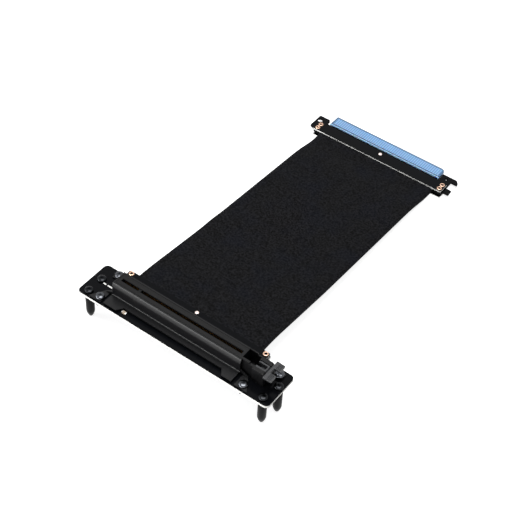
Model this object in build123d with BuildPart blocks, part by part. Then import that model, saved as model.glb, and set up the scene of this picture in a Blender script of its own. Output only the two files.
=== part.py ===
from build123d import *
import os

# Extension cable for an expansion card. At one end a card slot stands on a board with four posts,
# at the other end a card-edge board carries a push-on cap, and a flat wrapped cable joins the two.
# Millimetres. X runs along the slot, Y along the cable towards the card edge, Z up.
# The origin is at the middle of the whole footprint, on the table that the posts stand on.

# The card edge, whose length sets the width of everything else
card_length = 85.2
short_run = 11.65
key_notch = 1.9
contact_pitch = 1.0
short_contacts = int(short_run / contact_pitch)
long_contacts = int((card_length - short_run - key_notch) / contact_pitch)

# Boards, cover plates and the flat cables that lie between them
pcb_thickness = 1.6
plate_thickness = 1.0
cable_layer = 1.2
plate_margin = 7.9
plate_width = card_length + 2 * plate_margin
plate_depth = 9.0
plate_corner = 0.7
cable_x = -2.0

# Slot board and its posts
slot_x = -3.0
slot_end_wall = 1.9
slot_length = card_length + 2 * slot_end_wall
board_margin = 23.2
board_width = slot_length + 2 * board_margin
board_depth = 26.3
board_corner = 3.0
near_plate_reach = 16.6
post_height = 19.6
post_radius = 2.6
post_tip_radius = 0.8
post_taper_height = 4.4
post_bore_depth = 9.0
post_front_y = -9.0
post_rear_y = 2.1
post_inset = 5.8
post_rear_right_inset = 3.3

# Screws and nuts, all of one thread size
thread_radius = 1.5
screw_clearance = 0.1
head_radius = 2.75
head_height = 1.8
post_screw_grip = 7.0
nut_across_flats = 5.5
nut_height = 2.4
nut_screw_tail = 1.2
left_screws = ((-5.9, -9.1), (-7.9, 10.0))
right_screws = ((7.1, -9.1), (18.8, 8.4))

# Card slot: a moulded housing with one contact to each millimetre on both sides of the card
slot_y = 2.0
slot_width = 7.8
slot_height = 11.25
card_gap = 1.8
card_clearance = 0.1
card_floor = 2.8
key_rib = 1.7
key_drop = 0.9
lead_in = 0.5
recess_depth = 0.9
recess_roof = 1.4
contact_width = 0.4
contact_reach = 0.2
contact_headroom = 0.35
contact_height = slot_height - card_floor - recess_roof - contact_headroom
contact_bow = 0.75

# Latch end of the slot: an open bay for the card's hook, then two ears with the lever between them
bay_length = 8.0
bay_step_x = 5.3
bay_floor = 1.2
bay_front_wall = 1.4
bay_rear_wall = 0.7
ear_length = 7.7
ear_height = 10.0
ear_gap = 5.2
ear_thickness = 2.5
ear_round = 1.0
ear_floor = 0.8
ear_proud = 0.1

# Latch lever, hinged low between the ears
lever_clearance = 0.2
pivot_from_bay = 3.9
pivot_height = 3.0
pivot_radius = 1.2
pivot_fit = 0.05
pivot_length = 1.6
lever_drum = 1.9
thumb_width = 13.8
thumb_length = 5.5
thumb_top = 10.7
thumb_thickness = 1.3
thumb_notch = 3.6
thumb_bar = 1.5
thumb_gap = 0.7
grip_groove = 0.3
arm_below_ears = 0.4
arm_valley = 0.8
nose_height = 7.0
nose_reach = 0.3
nose_slope = 0.4
pocket_width = 2.6
pocket_length = 6.8
pocket_floor = 6.6

# Folded sheet shroud round the slot
sheet = 0.9
shroud_gap = 0.2
shroud_face_out = 2.0
shroud_shoulder_drop = 3.6
shroud_flange = 4.1
shroud_tab = 3.8
left_tab_length = 9.4
right_tab_length = 6.6
shroud_tab_slant = 2.6
bend_radius = 0.8
flange_lift = 1.0
front_overhang = 0.8
foot_gap = 2.2
foot_width = 8.6
foot_reach = 0.4
foot_neck = 3.0
foot_leg_height = 4.0
rear_flange = 1.0
rear_foot_neck = 1.5

# Eyelet heads that clamp the cover plates to the boards, and a solid rivet head in the middle
eyelet_inset = 2.25
eyelet_span = plate_width - 2 * eyelet_inset
eyelet_pair = 3.85
near_eyelet_edge = 1.75
far_eyelet_edge = 2.5
eyelet_bore = 0.6
eyelet_radius = 1.7
eyelet_height = 0.4
rivet_radius = 1.2

# Flat cables and the wrap round them
ribbon_span = 190.8
ribbon_inset = 6.2
ribbon_width = plate_width - 2 * ribbon_inset
ribbon_x = -2.2
wrap_wall = 0.25
wrap_end_gap = 0.2
cables_per_layer = 4
cable_thickness = 1.0
cable_side_gap = 0.2
cable_middle_gap = 3.0
cable_pack_offset = 0.55
cable_wrap_gap = 0.1
cable_seat = 7.4

# Card-edge board and its cap
card_shoulder = 11.9
card_tongue = 9.0
card_bevel = 0.5
card_corner = 1.8
key_web = 1.0
finger_length = 6.6
finger_inset = 1.0
finger_thickness = 0.08
edge_board_inset = 1.0
tab_reach = 4.7
tab_width = 8.4
tab_slant_start = 2.6
tab_start = 4.1
tab_end = 16.4
tab_corner = 1.2
tab_hole_radius = 1.9
tab_hole_rim = 0.7
tab_hole_setback = 4.2
hook_gap = 1.0
hook_reach = 4.3
hook_end = 18.5
hook_arm = 3.6
hook_corner = 2.2
hook_notch = 7.4
hook_lower_arm = 4.2
hook_hole_radius = 1.0
hook_hole_setback = 3.1
cap_clearance = 0.15
cap_side_wall = 0.5
cap_face_wall = 0.9
cap_end_wall = 0.6
cap_lip = 0.3
cap_lip_depth = 1.0

# Chip capacitor beside the shroud
chip_length = 3.2
chip_width = 1.6
chip_height = 1.2
chip_place = (12.5, -9.6)

# Heights, counted from the table
board_bottom = post_height
board_top = board_bottom + pcb_thickness
board_middle = board_bottom + pcb_thickness / 2
far_board_bottom = plate_thickness + cable_layer
far_board_top = far_board_bottom + pcb_thickness
far_board_middle = far_board_bottom + pcb_thickness / 2

# Places along Y, counted from the middle of the whole length
cap_end = card_shoulder + card_tongue + cap_clearance + cap_end_wall
overall_length = board_depth / 2 + near_plate_reach + ribbon_span + cap_end
board_y = (board_depth - overall_length) / 2
near_edge = board_y + near_plate_reach
far_edge = near_edge + ribbon_span
slot_middle = board_y + slot_y

# Places along X that several pieces share
card_left = slot_x - card_length / 2
card_right = slot_x + card_length / 2
key_x = card_left + short_run + key_notch / 2
slot_right = slot_x + slot_length / 2
slot_left = slot_x - slot_length / 2
ear_left = slot_right + bay_length
ear_right = ear_left + ear_length
pivot_x = ear_left + pivot_from_bay
pivot_z = board_top + pivot_height

post_x = board_width / 2 - post_inset
post_rear_right_x = board_width / 2 - post_rear_right_inset
posts = {
    "post_front_left": (-post_x, board_y + post_front_y),
    "post_front_right": (post_x, board_y + post_front_y),
    "post_rear_left": (-post_x, board_y + post_rear_y),
    "post_rear_right": (post_rear_right_x, board_y + post_rear_y),
}
post_places = list(posts.values())
left_nuts = [(slot_left + x, board_y + y) for x, y in left_screws]
right_nuts = [(slot_right + x, board_y + y) for x, y in right_screws]
nut_places = left_nuts + right_nuts


def eyelet_places(*rows):
    """Eyelets at both sides of the cable, in rows at the given Y."""
    return [(cable_x + side * eyelet_span / 2, y) for side in (-1, 1) for y in rows]


near_eyelets_at = eyelet_places(near_edge - near_eyelet_edge)
far_row = far_edge + far_eyelet_edge
far_eyelets_at = eyelet_places(far_row, far_row + eyelet_pair)
near_rivet_at = (cable_x, near_edge - near_eyelet_edge)
far_rivet_at = (cable_x, far_row + eyelet_pair)

os.makedirs("parts", exist_ok=True)


def save(piece, name):
    """Label a finished piece and write it to its own file."""
    piece.label = name
    export_step(piece, f"parts/{name}.step")


# Slot board, with a rear tongue that the cable is soldered to
with BuildPart() as slot_board:
    with BuildSketch(Plane.XY.offset(board_bottom)):
        with Locations((0, board_y)):
            RectangleRounded(board_width, board_depth, board_corner)
        with Locations((cable_x, near_edge)):
            Rectangle(plate_width, plate_depth, align=(Align.CENTER, Align.MAX))
        with Locations(post_places + nut_places):
            Circle(thread_radius + screw_clearance, mode=Mode.SUBTRACT)
    extrude(amount=pcb_thickness)
save(slot_board.part, "slot_board")


def cover_plate(bottom, edge, side):
    """Stiff cover plate whose cable-side edge is at the given Y; side says which way it goes."""
    with BuildPart() as plate:
        with Locations((cable_x, edge + side * plate_depth / 2, bottom)):
            plate_align = (Align.CENTER, Align.CENTER, Align.MIN)
            Box(plate_width, plate_depth, plate_thickness, align=plate_align)
        chamfer(plate.edges().filter_by(Axis.Z), plate_corner)
    return plate.part


near_top_plate_bottom = board_top + cable_layer
near_low_plate_bottom = board_bottom - cable_layer - plate_thickness
far_top_plate_bottom = far_board_top + cable_layer
save(cover_plate(near_top_plate_bottom, near_edge, -1), "near_cover_top")
save(cover_plate(near_low_plate_bottom, near_edge, -1), "near_cover_bottom")
save(cover_plate(far_top_plate_bottom, far_edge, 1), "far_cover_top")
save(cover_plate(0, far_edge, 1), "far_cover_bottom")


def eyelets(low, places, rivet_place):
    """Rolled eyelet heads on a plate's upper face, each a ring that slopes up to its bore."""
    with BuildPart() as group:
        with BuildSketch(Plane.XZ) as section:
            with BuildLine():
                Polyline(
                    (eyelet_bore, 0),
                    (eyelet_radius, 0),
                    (eyelet_bore, eyelet_height),
                    close=True,
                )
            make_face()
        ring = revolve(section.sketch, axis=Axis.Z, mode=Mode.PRIVATE)
        with Locations([(x, y, low) for x, y in places]):
            add(ring)
        with Locations((*rivet_place, low)):
            Cylinder(rivet_radius, eyelet_height, align=(Align.CENTER, Align.CENTER, Align.MIN))
    return group.part


near_plate_top = near_top_plate_bottom + plate_thickness
far_plate_top = far_top_plate_bottom + plate_thickness
save(eyelets(near_plate_top, near_eyelets_at, near_rivet_at), "near_eyelets")
save(eyelets(far_plate_top, far_eyelets_at, far_rivet_at), "far_eyelets")

# Posts: turned bars with a bullet tip and a tapped hole for the screw
with BuildPart() as post:
    with BuildSketch(Plane.XZ):
        with BuildLine():
            Polyline(
                (0, 0),
                (post_tip_radius, 0),
                (post_radius, post_taper_height),
                (post_radius, post_height),
                (thread_radius + screw_clearance, post_height),
                (thread_radius + screw_clearance, post_height - post_bore_depth),
                (0, post_height - post_bore_depth),
                close=True,
            )
        make_face()
    revolve(axis=Axis.Z)
for name, (x, y) in posts.items():
    with BuildPart() as placed_post:
        with Locations((x, y, 0)):
            add(post.part)
    save(placed_post.part, name)


def pan_screw(shank):
    """Plain pan-head screw, its head's seat at Z 0 and its shank below."""
    with BuildPart() as screw:
        head_align = (Align.CENTER, Align.CENTER, Align.MIN)
        Cylinder(head_radius, head_height, align=head_align)
        Cylinder(thread_radius, shank, align=(Align.CENTER, Align.CENTER, Align.MAX))
    return screw.part


with BuildPart() as post_screws:
    with Locations([(x, y, board_top) for x, y in post_places]):
        add(pan_screw(pcb_thickness + post_screw_grip))
save(post_screws.part, "post_screws")

with BuildPart() as shroud_screws:
    with Locations([(x, y, board_top + sheet) for x, y in nut_places]):
        add(pan_screw(sheet + pcb_thickness + nut_height + nut_screw_tail))
save(shroud_screws.part, "shroud_screws")

with BuildPart() as shroud_nuts:
    with BuildSketch(Plane.XY.offset(board_bottom - nut_height)):
        with Locations(nut_places):
            RegularPolygon(nut_across_flats / 2, 6, major_radius=False, rotation=30)
            Circle(thread_radius + screw_clearance / 2, mode=Mode.SUBTRACT)
    extrude(amount=nut_height)
save(shroud_nuts.part, "shroud_nuts")


# Card slot housing, moulded in one piece with the latch bay and its ears
short_middle = key_x - key_notch / 2 - short_run / 2
long_middle = (key_x + key_notch / 2 + card_right) / 2
contact_groups = ((short_middle, short_contacts), (long_middle, long_contacts))
with BuildPart() as slot_housing:
    with BuildSketch(Plane.XY.offset(board_top)):
        with Locations((slot_x, slot_middle)):
            Rectangle(slot_length, slot_width)
    extrude(amount=slot_height)
    # the card's channel with its lead-in, left solid at the key rib
    with BuildSketch(Plane.YZ.offset(card_left - card_clearance)):
        with BuildLine():
            Polyline(
                (slot_middle - card_gap / 2, board_top + card_floor),
                (slot_middle - card_gap / 2, board_top + slot_height - lead_in),
                (slot_middle - card_gap / 2 - lead_in, board_top + slot_height),
                (slot_middle + card_gap / 2 + lead_in, board_top + slot_height),
                (slot_middle + card_gap / 2, board_top + slot_height - lead_in),
                (slot_middle + card_gap / 2, board_top + card_floor),
                close=True,
            )
        make_face()
    extrude(amount=card_length + 2 * card_clearance, mode=Mode.SUBTRACT)
    with BuildSketch(Plane.XY.offset(board_top)):
        with Locations((key_x, slot_middle)):
            Rectangle(key_rib, card_gap + 2 * lead_in)
    extrude(amount=slot_height - key_drop)
    # the bay that takes the card's hook
    bay_front = slot_middle - slot_width / 2
    bay_rear = slot_middle + ear_gap / 2 + ear_thickness - ear_proud
    with BuildSketch(Plane.XY.offset(board_top)):
        with Locations(((slot_right + ear_left) / 2, (bay_front + bay_rear) / 2)):
            Rectangle(bay_length, bay_rear - bay_front)
    extrude(amount=slot_height)
    with BuildSketch(Plane.XY.offset(board_top + bay_floor)):
        bay_inner_front = bay_front + bay_front_wall
        bay_inner_rear = bay_rear - bay_rear_wall
        with Locations(((slot_right + ear_left) / 2, (bay_inner_front + bay_inner_rear) / 2)):
            Rectangle(bay_length, bay_inner_rear - bay_inner_front)
    extrude(amount=slot_height, mode=Mode.SUBTRACT)
    with BuildSketch(Plane.XY.offset(board_top + ear_height)):
        with Locations((slot_right + bay_step_x, bay_front)):
            step_align = (Align.MIN, Align.MIN)
            Rectangle(bay_length - bay_step_x, bay_rear - bay_front, align=step_align)
    extrude(amount=slot_height - ear_height, mode=Mode.SUBTRACT)
    # two ears with rounded shoulders, joined by a low floor
    with BuildSketch(Plane.XZ.offset(-slot_middle)) as ear_side:
        with Locations((ear_left, board_top)):
            Rectangle(ear_length, ear_height, align=(Align.MIN, Align.MIN))
        fillet(ear_side.vertices().group_by(Axis.Y)[-1].sort_by(Axis.X)[-1], ear_round)
    extrude(amount=ear_gap / 2 + ear_thickness, both=True)
    with BuildSketch(Plane.XY.offset(board_top + ear_floor)):
        with Locations((ear_left, slot_middle)):
            Rectangle(ear_length, ear_gap, align=(Align.MIN, Align.CENTER))
    extrude(amount=slot_height, mode=Mode.SUBTRACT)
    # blind holes that the lever's pivots turn in
    with BuildSketch(Plane.XZ.offset(-slot_middle)):
        with Locations((pivot_x, pivot_z)):
            Circle(pivot_radius + pivot_fit)
    pivot_hole = ear_gap / 2 - lever_clearance + pivot_length + screw_clearance
    extrude(amount=pivot_hole, both=True, mode=Mode.SUBTRACT)
    # a recess in both walls of the channel for each run of contacts, below the lead-in
    with BuildSketch(Plane.XY.offset(board_top + card_floor)):
        for middle, count in contact_groups:
            with Locations((middle, slot_middle)):
                Rectangle(count * contact_pitch, card_gap + 2 * recess_depth)
    extrude(amount=slot_height - card_floor - recess_roof, mode=Mode.SUBTRACT)
save(slot_housing.part, "slot_housing")

# Contacts: springs that stand along the back of the recess and bow in towards the card
spring_root = card_gap / 2 + recess_depth
spring_bow = card_gap / 2 - contact_reach
with BuildPart() as contact:
    with BuildSketch(Plane.YZ.offset(-contact_width / 2)):
        with BuildLine():
            Polyline(
                (spring_root, 0),
                (spring_bow, contact_bow * contact_height),
                (spring_root, contact_height),
                close=True,
            )
        make_face()
    extrude(amount=contact_width)
contact_places = []
for middle, count in contact_groups:
    first = middle - (count - 1) * contact_pitch / 2
    for step in range(count):
        spot = (first + step * contact_pitch, slot_middle, board_top + card_floor)
        contact_places += [Location(spot), Location(spot, (0, 0, 180))]
with BuildPart() as slot_contacts:
    with Locations(contact_places):
        add(contact.part)
save(slot_contacts.part, "slot_contacts")

# Latch lever: an arm between the ears, a pocket for the card's hook and a notched thumb plate
arm_half = ear_gap / 2 - lever_clearance
arm_right = pivot_x + lever_drum
thumb_left = ear_right + thumb_gap
arm_top = board_top + ear_height - arm_below_ears
nose_z = board_top + nose_height
thumb_under = board_top + thumb_top - thumb_thickness
valley_z = arm_top - arm_valley
with BuildPart() as latch_lever:
    with BuildSketch(Plane.XZ.offset(-slot_middle)) as arm_side:
        with BuildLine():
            Polyline(
                (pivot_x - lever_drum, pivot_z),
                (pivot_x - lever_drum, nose_z - nose_slope),
                (ear_left - nose_reach, nose_z),
                (ear_left + nose_reach, arm_top),
                (ear_right - arm_valley, arm_top),
                (ear_right, valley_z),
                (thumb_left, valley_z),
                (thumb_left, thumb_under + thumb_thickness / 2),
                (thumb_left + thumb_bar, thumb_under + thumb_thickness / 2),
                (thumb_left + thumb_bar, valley_z),
                (arm_right, pivot_z + lever_drum),
                (arm_right, pivot_z),
                close=True,
            )
        make_face()
        with Locations((pivot_x, pivot_z)):
            Circle(lever_drum)
    extrude(amount=arm_half, both=True)
    # thumb plate with a notch that leaves two grip pads
    with BuildSketch(Plane.XY.offset(board_top + thumb_top - thumb_thickness)) as thumb:
        with Locations((thumb_left, slot_middle)):
            Rectangle(thumb_length, thumb_width, align=(Align.MIN, Align.CENTER))
        with Locations((thumb_left + thumb_bar, slot_middle)):
            notch_align = (Align.MIN, Align.CENTER)
            Rectangle(thumb_length, thumb_notch, align=notch_align, mode=Mode.SUBTRACT)
        chamfer(thumb.vertices().group_by(Axis.X)[-1], thumb_thickness / 3)
    extrude(amount=thumb_thickness)
    with BuildSketch(Plane.XY.offset(board_top + thumb_top - grip_groove)):
        groove_x = thumb_left + (thumb_bar + thumb_length) / 2
        with Locations((groove_x, slot_middle)):
            with GridLocations(thumb_bar * 0.6, thumb_width, 3, 1):
                Rectangle(grip_groove, thumb_width)
    extrude(amount=grip_groove, mode=Mode.SUBTRACT)
    # pocket for the hook, open towards the bay
    with BuildSketch(Plane.XY.offset(board_top + pocket_floor)):
        with Locations((ear_left - 2 * nose_reach, slot_middle)):
            Rectangle(pocket_length, pocket_width, align=(Align.MIN, Align.CENTER))
    extrude(amount=slot_height, mode=Mode.SUBTRACT)
    # pivots, one at each side of the arm
    with BuildSketch(Plane.XZ.offset(-slot_middle)):
        with Locations((pivot_x, pivot_z)):
            Circle(pivot_radius)
    extrude(amount=arm_half + pivot_length, both=True)
save(latch_lever.part, "latch_lever")

# Shroud: a folded and painted sheet with a rolled shoulder, tabs in front and a foot at each corner
shroud_left = slot_left - shroud_gap
front_right = slot_right + front_overhang
rear_right = slot_right - shroud_gap
end_outside = shroud_left - sheet
face_y = slot_middle - slot_width / 2 - shroud_face_out
rim_y = slot_middle - slot_width / 2 - shroud_gap - sheet
shroud_top = board_top + slot_height
shoulder_z = shroud_top - shroud_shoulder_drop
flange_bottom = board_top + flange_lift
flange_top = flange_bottom + sheet
flange_root = face_y - 2 * bend_radius
rear_in = slot_middle + slot_width / 2 + shroud_gap
rear_out = rear_in + sheet
flange_front = face_y - shroud_flange
tab_front = flange_front - shroud_tab
with BuildPart() as slot_shroud:
    # front wall with its shoulder, and the start of the flange
    with BuildSketch(Plane.YZ.offset(end_outside)) as front_section:
        with BuildLine():
            outer = TangentArc((face_y, shoulder_z), (rim_y, shroud_top), tangent=(0, 1))
            inner = TangentArc(
                (face_y + sheet, shoulder_z), (rim_y + sheet, shroud_top), tangent=(0, 1)
            )
            Line(outer @ 1, inner @ 1)
            Polyline(
                outer @ 0,
                (face_y, flange_top),
                (flange_root, flange_top),
                (flange_root, flange_bottom),
                (face_y + sheet, flange_bottom),
                inner @ 0,
            )
        make_face()
        # a sketch measures its corners in its own plane, here along Y and then Z
        inner_root = front_section.vertices().sort_by_distance((face_y, flange_top))[0]
        fillet(inner_root, bend_radius * 0.7)
        root_place = (face_y + sheet, flange_bottom)
        outer_root = front_section.vertices().sort_by_distance(root_place)[0]
        fillet(outer_root, bend_radius)
    extrude(amount=front_right - end_outside)
    # end plate, which follows the shoulder and joins the front to the rear skirt
    with BuildSketch(Plane.YZ.offset(end_outside)):
        with BuildLine():
            Polyline(
                outer @ 0,
                (face_y, flange_bottom),
                (face_y + sheet, flange_bottom),
                (face_y + sheet, board_top),
                (rear_out, board_top),
                (rear_out, shroud_top),
                outer @ 1,
            )
            TangentArc((face_y, shoulder_z), (rim_y, shroud_top), tangent=(0, 1))
        make_face()
    extrude(amount=sheet)
    # rear skirt with its narrow flange
    with BuildSketch(Plane.XY.offset(board_top)):
        with Locations((end_outside, rear_in)):
            skirt_align = (Align.MIN, Align.MIN)
            Rectangle(rear_right - end_outside, sheet, align=skirt_align)
    extrude(amount=shroud_top - board_top)
    # front flange with a slanted tab at each end, lifted clear of the board
    with BuildSketch(Plane.XY.offset(flange_bottom)):
        tabs = ((-1, end_outside, left_tab_length), (1, front_right, right_tab_length))
        for side, end, tab_length in tabs:
            tab_inner = end - side * tab_length
            with BuildLine():
                Polyline(
                    (slot_x, flange_front),
                    (tab_inner - side * shroud_tab_slant, flange_front),
                    (tab_inner, tab_front),
                    (end, tab_front),
                    (end, flange_root),
                    (slot_x, flange_root),
                    close=True,
                )
            make_face()
    extrude(amount=sheet)
    # front feet: a short leg carries each one down to the board, beside the tab
    foot_front = tab_front - foot_reach
    for side, end in ((-1, end_outside), (1, front_right)):
        foot_inner = end + side * foot_gap
        leg_start = end - side * foot_neck
        leg_end = foot_inner + side * foot_neck
        with BuildSketch(Plane.XY.offset(board_top)):
            with BuildLine():
                Polyline(
                    (foot_inner, foot_front),
                    (foot_inner + side * foot_width, foot_front),
                    (leg_end, face_y + sheet),
                    (foot_inner, face_y + sheet),
                    close=True,
                )
            make_face()
        extrude(amount=sheet)
        with BuildSketch(Plane.XZ.offset(-face_y - sheet)):
            with BuildLine():
                Polyline(
                    (foot_inner, board_top),
                    (leg_end, board_top),
                    (leg_end, board_top + sheet),
                    (end, board_top + foot_leg_height),
                    (leg_start, board_top + foot_leg_height),
                    (leg_start, flange_top),
                    (end, flange_top),
                    (foot_inner, board_top + sheet),
                    close=True,
                )
            make_face()
        extrude(amount=sheet)
    # rear flange and rear feet, whose necks pass behind the ears
    neck_in = slot_middle + ear_gap / 2 + ear_thickness + shroud_gap
    with BuildSketch(Plane.XY.offset(board_top)):
        with Locations((end_outside, rear_out)):
            Rectangle(rear_right - end_outside, rear_flange, align=skirt_align)
        for x, y in (left_nuts[1], right_nuts[1]):
            start = end_outside if x < 0 else rear_right - sheet
            side = -1 if x < 0 else 1
            neck_middle = (start + x + side * head_radius) / 2
            with Locations((neck_middle, neck_in)):
                neck_align = (Align.CENTER, Align.MIN)
                Rectangle(abs(x - start) + head_radius, rear_foot_neck, align=neck_align)
            with Locations((x, (rear_out + y + head_radius) / 2)):
                Rectangle(2 * head_radius, y + head_radius - rear_out)
    extrude(amount=sheet)
    with BuildSketch(Plane.XY.offset(board_top)):
        with Locations(nut_places):
            Circle(thread_radius + screw_clearance)
    extrude(amount=sheet, mode=Mode.SUBTRACT)
save(slot_shroud.part, "slot_shroud")

# Chip capacitor
with BuildPart() as chip_capacitor:
    with Locations((slot_left + chip_place[0], board_y + chip_place[1], board_top)):
        Box(chip_length, chip_width, chip_height, align=(Align.CENTER, Align.CENTER, Align.MIN))
    chamfer(chip_capacitor.edges().filter_by(Axis.Y), chip_height / 8)
save(chip_capacitor.part, "chip_capacitor")


# The cable falls from one board to the other in a long, slightly uneven slope.
# Each waypoint is a share of the span and the share of the fall reached there.
slope_waypoints = ((0.06, 0.0), (0.34, 0.36), (0.86, 0.80), (0.95, 1.0))
slope_radii = (80, 300, 100, 40)


def cable_line(middle_offset, end_offset, start, end):
    """A line along the cable, at one offset while packed and another where it meets the boards."""
    fall = board_middle - far_board_middle
    points = [(start, board_middle + end_offset), (near_edge, board_middle + end_offset)]
    for along, down in slope_waypoints:
        z = board_middle - down * fall + middle_offset
        points.append((near_edge + along * ribbon_span, z))
    points.append((far_edge, far_board_middle + end_offset))
    points.append((end, far_board_middle + end_offset))
    return points


def flat_body(offsets, start, end, left, width):
    """A flat band of cable between a lower and an upper line, extruded over its width."""
    with BuildPart() as band:
        with BuildSketch(Plane.YZ.offset(left)):
            with BuildLine():
                ends = []
                for middle_offset, end_offset in offsets:
                    first, *slope, last = cable_line(middle_offset, end_offset, start, end)
                    FilletPolyline(*slope, radius=slope_radii)
                    Line(first, slope[0])
                    Line(slope[-1], last)
                    ends.append((first, last))
                Line(ends[0][0], ends[1][0])
                Line(ends[0][1], ends[1][1])
            make_face()
        extrude(amount=width)
    return band.part


seat_offset = pcb_thickness / 2 + cable_layer / 2
cable_bottom = cable_pack_offset - cable_thickness / 2
cable_top = cable_pack_offset + cable_thickness / 2
seat_bottom = seat_offset - cable_thickness / 2
seat_top = seat_offset + cable_thickness / 2
upper_offsets = ((cable_bottom, seat_bottom), (cable_top, seat_top))
lower_offsets = ((-cable_top, -seat_top), (-cable_bottom, -seat_bottom))
cable_start = near_edge - cable_seat
cable_stop = far_edge + cable_seat
bundle_width = ribbon_width - 2 * (wrap_wall + cable_wrap_gap)
side_gaps = cable_side_gap * (cables_per_layer - 2) + cable_middle_gap
cable_width = (bundle_width - side_gaps) / cables_per_layer
for number in range(cables_per_layer):
    left = ribbon_x - bundle_width / 2 + number * (cable_width + cable_side_gap)
    if number >= cables_per_layer // 2:
        left += cable_middle_gap - cable_side_gap
    upper = flat_body(upper_offsets, cable_start, cable_stop, left, cable_width)
    save(upper, f"upper_cable_{number + 1}")
    lower = flat_body(lower_offsets, cable_start, cable_stop, left, cable_width)
    save(lower, f"lower_cable_{number + 1}")

# Wrap: a thin sleeve round all eight cables, open at both ends
wrap_in = cable_top + cable_wrap_gap
wrap_in_end = seat_top + cable_wrap_gap
wrap_out = wrap_in + wrap_wall
wrap_out_end = wrap_in_end + wrap_wall
outer_offsets = ((-wrap_out, -wrap_out_end), (wrap_out, wrap_out_end))
inner_offsets = ((-wrap_in, -wrap_in_end), (wrap_in, wrap_in_end))
wrap_left = ribbon_x - ribbon_width / 2
sleeve = flat_body(outer_offsets, cable_start, cable_stop, wrap_left, ribbon_width)
hollow_width = ribbon_width - 2 * wrap_wall
hollow = flat_body(inner_offsets, cable_start, cable_stop, wrap_left + wrap_wall, hollow_width)
wrap_length = ribbon_span - 2 * wrap_end_gap
with BuildPart() as cable_wrap:
    add(sleeve)
    add(hollow, mode=Mode.SUBTRACT)
    with Locations((ribbon_x, (near_edge + far_edge) / 2, board_middle)):
        Box(2 * ribbon_width, wrap_length, 4 * post_height, mode=Mode.INTERSECT)
save(cable_wrap.part, "cable_wrap")

# Card-edge board: the tongue, a holed tab on the left and a C hook on the right
shoulder_y = far_edge + card_shoulder
tongue_end = shoulder_y + card_tongue
plate_left = cable_x - plate_width / 2
plate_right = cable_x + plate_width / 2
tab_left = plate_left - tab_reach
tab_right = tab_left + tab_width
hook_left = card_right + hook_gap
hook_right = plate_right + hook_reach
hook_far = far_edge + hook_end
hook_upper = hook_far - hook_arm
hook_lower = hook_upper - hook_notch
tab_hole = (tab_left + tab_hole_rim + tab_hole_radius, far_edge + tab_end - tab_hole_setback)
hook_hole = ((hook_left + plate_right) / 2, hook_far - hook_hole_setback)
with BuildPart() as edge_board:
    with BuildSketch(Plane.XY.offset(far_board_bottom)) as edge_outline:
        with Locations((cable_x, far_edge + edge_board_inset)):
            body_align = (Align.CENTER, Align.MIN)
            Rectangle(plate_width, card_shoulder - edge_board_inset, align=body_align)
        with BuildLine():
            Polyline(
                (plate_left, far_edge + tab_slant_start),
                (tab_left, far_edge + tab_start),
                (tab_left, far_edge + tab_end),
                (tab_right, far_edge + tab_end),
                (tab_right, shoulder_y),
                (plate_left, shoulder_y),
                close=True,
            )
        make_face()
        with BuildLine():
            Polyline(
                (hook_left, shoulder_y),
                (hook_left, hook_far),
                (hook_right - hook_corner, hook_far),
                (hook_right, hook_far - hook_corner),
                (hook_right, hook_upper),
                (plate_right, hook_upper),
                (plate_right, shoulder_y),
                close=True,
            )
        make_face()
        with Locations((plate_right, hook_lower)):
            Rectangle(hook_reach, hook_lower_arm, align=(Align.MIN, Align.MAX))
        for x in (tab_left, tab_right):
            corner = (x, far_edge + tab_end, far_board_bottom)
            fillet(edge_outline.vertices().sort_by_distance(corner)[0], tab_corner)
        with Locations((slot_x, shoulder_y)):
            Rectangle(card_length, card_tongue, align=body_align)
        for x in (card_left, card_right):
            corner = (x, tongue_end, far_board_bottom)
            chamfer(edge_outline.vertices().sort_by_distance(corner)[0], card_corner)
        with Locations((key_x, tongue_end)):
            notch = card_tongue - key_web
            Rectangle(key_notch, notch, align=(Align.CENTER, Align.MAX), mode=Mode.SUBTRACT)
        with Locations(tab_hole):
            Circle(tab_hole_radius, mode=Mode.SUBTRACT)
        with Locations(hook_hole):
            Circle(hook_hole_radius, mode=Mode.SUBTRACT)
    extrude(amount=pcb_thickness)
    leading = edge_board.edges().filter_by(Axis.X).group_by(Axis.Y)[-1]
    chamfer(leading, card_bevel)
save(edge_board.part, "edge_board")

# Gold plating on both faces of the tongue, one field to each run of fingers
finger_middle_y = tongue_end - finger_inset - finger_length / 2
with BuildPart() as edge_fingers:
    for low in (far_board_bottom - finger_thickness, far_board_top):
        with BuildSketch(Plane.XY.offset(low)):
            for middle, count in contact_groups:
                with Locations((middle, finger_middle_y)):
                    Rectangle(count * contact_pitch, finger_length)
        extrude(amount=finger_thickness)
save(edge_fingers.part, "edge_fingers")

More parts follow.
